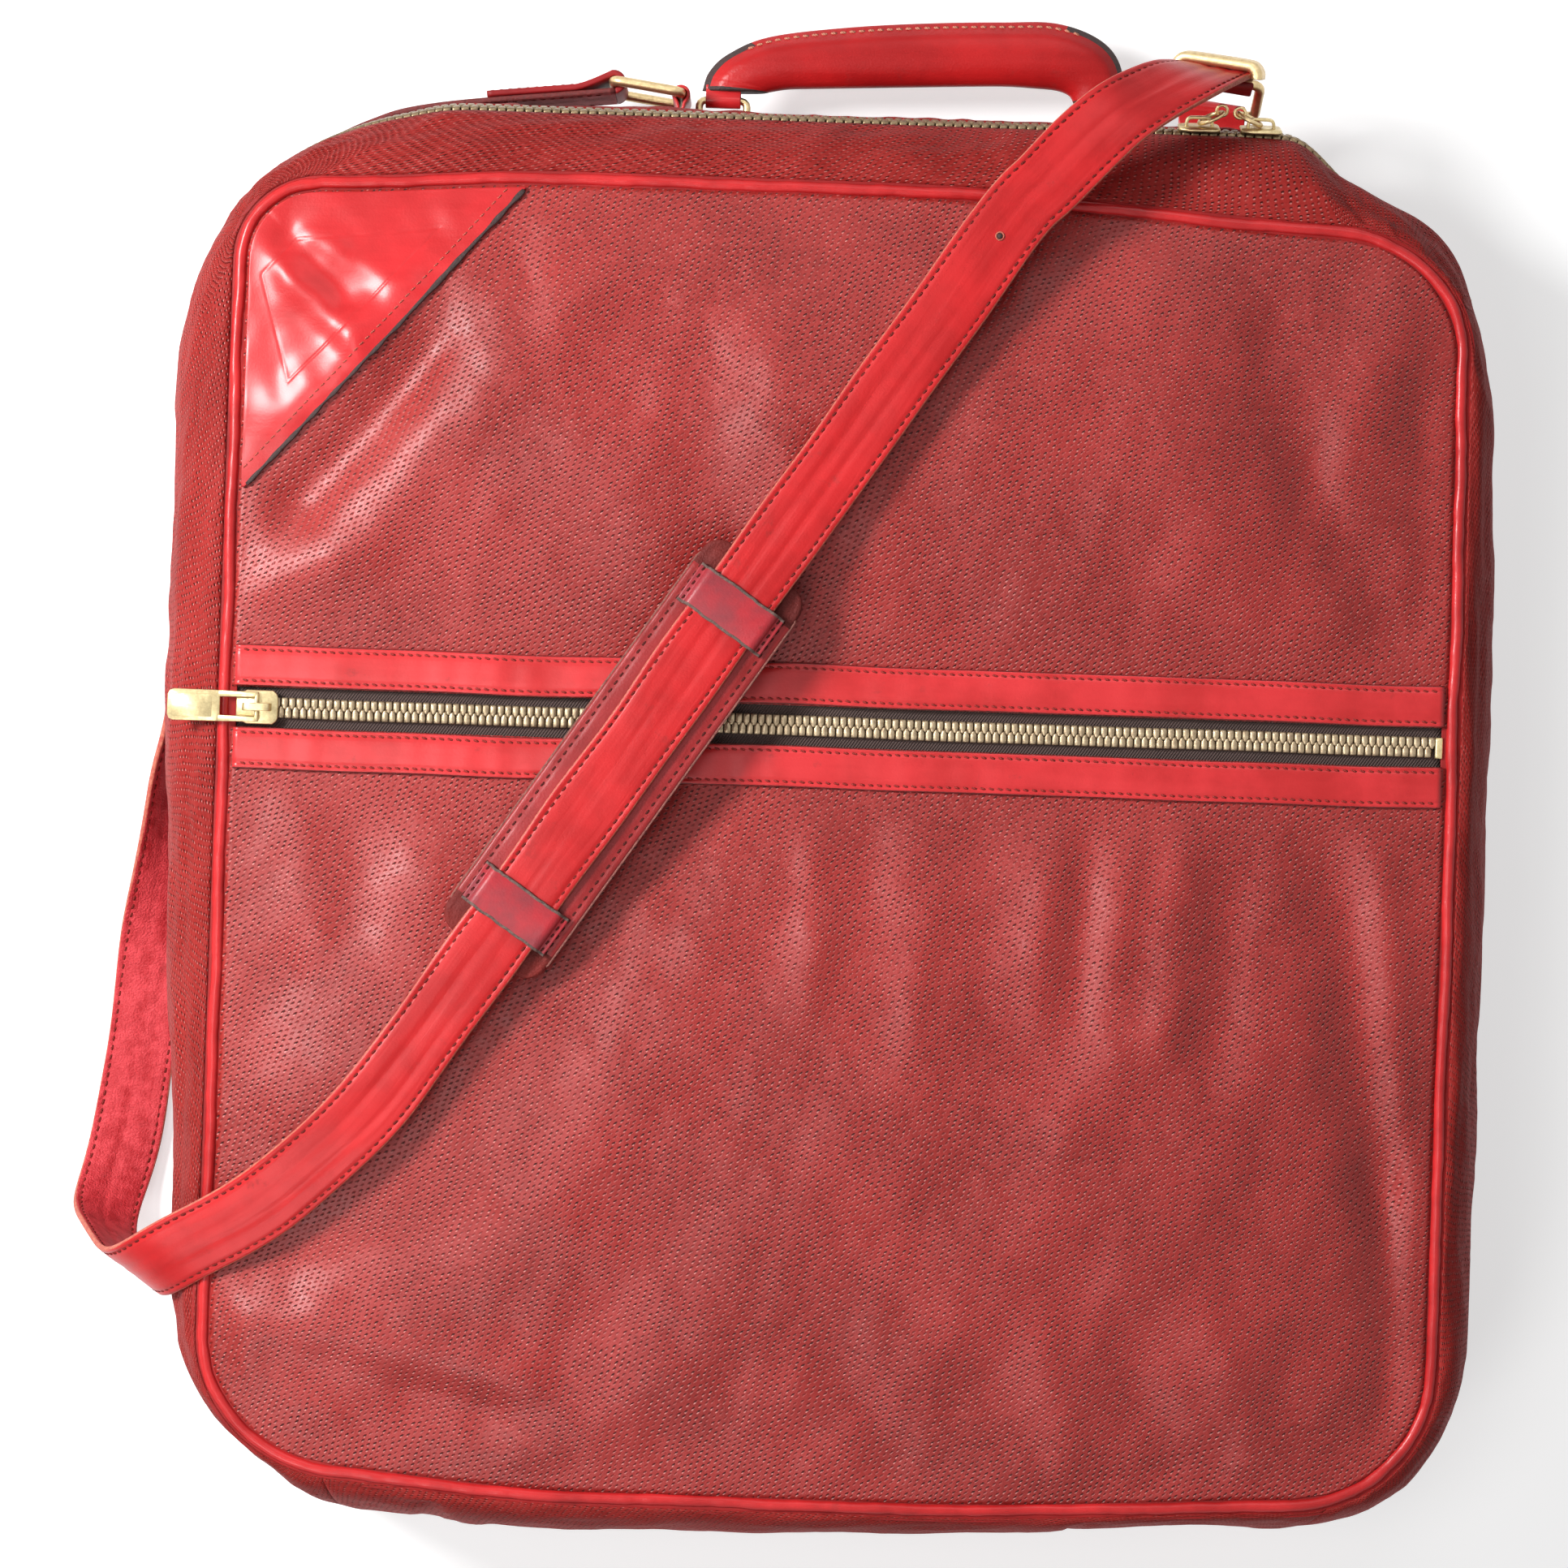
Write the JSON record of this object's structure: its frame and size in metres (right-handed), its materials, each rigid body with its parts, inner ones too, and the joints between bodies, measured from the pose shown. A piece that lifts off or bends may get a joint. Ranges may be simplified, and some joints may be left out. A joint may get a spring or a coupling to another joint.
{
  "type": "weekender bag",
  "caption": "Soft rectangular weekender bag with a zipped front pocket, a zipped top, a swinging top handle and a long shoulder strap with a sliding pad.",
  "frame": {"origin": "middle of the back panel's outer face, which lies on the ground", "axes": "+Z out of the front panel, +Y to the top seam with the handle, +X to the right seen from the front"},
  "size_m": [0.5611, 0.5993, 0.127],
  "materials": {
    "canvas": "coated canvas, semi-gloss",
    "trim_leather": "smooth, glossy",
    "strap_leather": "smooth, creased",
    "pad_leather": "worn",
    "lining": "matte",
    "board": "covered fibre board",
    "zip_tape": "woven twill",
    "zip_metal": "aged",
    "ring_metal": "aged, polished by use",
    "rope": "twisted fibre"
  },
  "bodies": {
    "shell": {"front_panel_upper": "canvas", "front_panel_lower": "canvas", "corner_patch": "trim_leather", "zip_band_upper": "trim_leather", "zip_band_lower": "trim_leather", "pocket_lining": "lining", "front_piping": "trim_leather", "back_piping": "trim_leather", "back_panel": "canvas", "back_lining": "lining", "base_board": "board", "side_gusset_left": "canvas", "side_gusset_right": "canvas", "bottom_gusset": "canvas", "top_gusset_front": "canvas", "top_gusset_back": "canvas", "front_zip_tape_upper": "zip_tape", "front_zip_tape_lower": "zip_tape", "front_zip_teeth_upper": "zip_metal", "front_zip_teeth_lower": "zip_metal", "front_zip_stop": "zip_metal", "main_zip_tape_front": "zip_tape", "main_zip_tape_back": "zip_tape", "main_zip_teeth_front": "zip_metal", "main_zip_teeth_back": "zip_metal", "main_zip_stops": "zip_metal", "handle_chapes": "trim_leather", "handle_backing_plates": "trim_leather", "shoulder_strap": "strap_leather", "strap_fold_left": "strap_leather", "strap_fold_right": "strap_leather", "strap_ring_left": "ring_metal", "strap_ring_right": "ring_metal", "strap_chape_left": "trim_leather", "strap_chape_right": "trim_leather"},
    "handle_rings": {"handle_rings": "ring_metal"},
    "handle": {"handle_grip": "trim_leather", "handle_core": "rope", "handle_end_tabs": "trim_leather"},
    "front_slider": {"front_zip_slider": "zip_metal"},
    "front_pull": {"front_zip_pull": "zip_metal"},
    "main_slider_a": {"main_zip_slider_a": "zip_metal"},
    "main_pull_a": {"main_zip_pull_a": "zip_metal"},
    "main_slider_b": {"main_zip_slider_b": "zip_metal"},
    "main_pull_b": {"main_zip_pull_b": "zip_metal"},
    "pad": {"strap_pad": "pad_leather", "pad_keepers": "strap_leather"}
  },
  "joints": [
    {"name": "handle_ring_swing", "type": "hinge", "parent": "shell", "child": "handle_rings", "pos_m": [0, 0.28775, 0.028], "axis": [1, 0, 0], "range_deg": [-80, 50]},
    {"name": "handle_tilt", "type": "hinge", "parent": "handle_rings", "child": "handle", "pos_m": [0, 0.29575, 0.028], "axis": [1, 0, 0], "range_deg": [-20, 20]},
    {"name": "front_zip_travel", "type": "slide", "parent": "shell", "child": "front_slider", "axis": [1, 0, 0], "range_m": [0, 0.44]},
    {"name": "front_zip_pull_flip", "type": "hinge", "parent": "front_slider", "child": "front_pull", "pos_m": [-0.2224, 0.046, 0.10465], "axis": [0, 1, 0], "range_deg": [0, 175]},
    {"name": "main_zip_a_travel", "type": "slide", "parent": "shell", "child": "main_slider_a", "axis": [1, 0, 0], "range_m": [-0.27, 0]},
    {"name": "main_zip_a_pull", "type": "hinge", "parent": "main_slider_a", "child": "main_pull_a", "pos_m": [0.132, 0.28585, 0.07644], "axis": [0, -0.3356, 0.942], "range_deg": [-20, 130]},
    {"name": "main_zip_b_travel", "type": "slide", "parent": "shell", "child": "main_slider_b", "axis": [1, 0, 0], "range_m": [-0.27, 0]},
    {"name": "main_zip_b_pull", "type": "hinge", "parent": "main_slider_b", "child": "main_pull_b", "pos_m": [0.156, 0.28585, 0.07644], "axis": [0, -0.3356, 0.942], "range_deg": [-130, 20]},
    {"name": "pad_slide", "type": "slide", "parent": "shell", "child": "pad", "axis": [0.5563, 0.831, 0], "range_m": [-0.03, 0.06]}
  ]
}
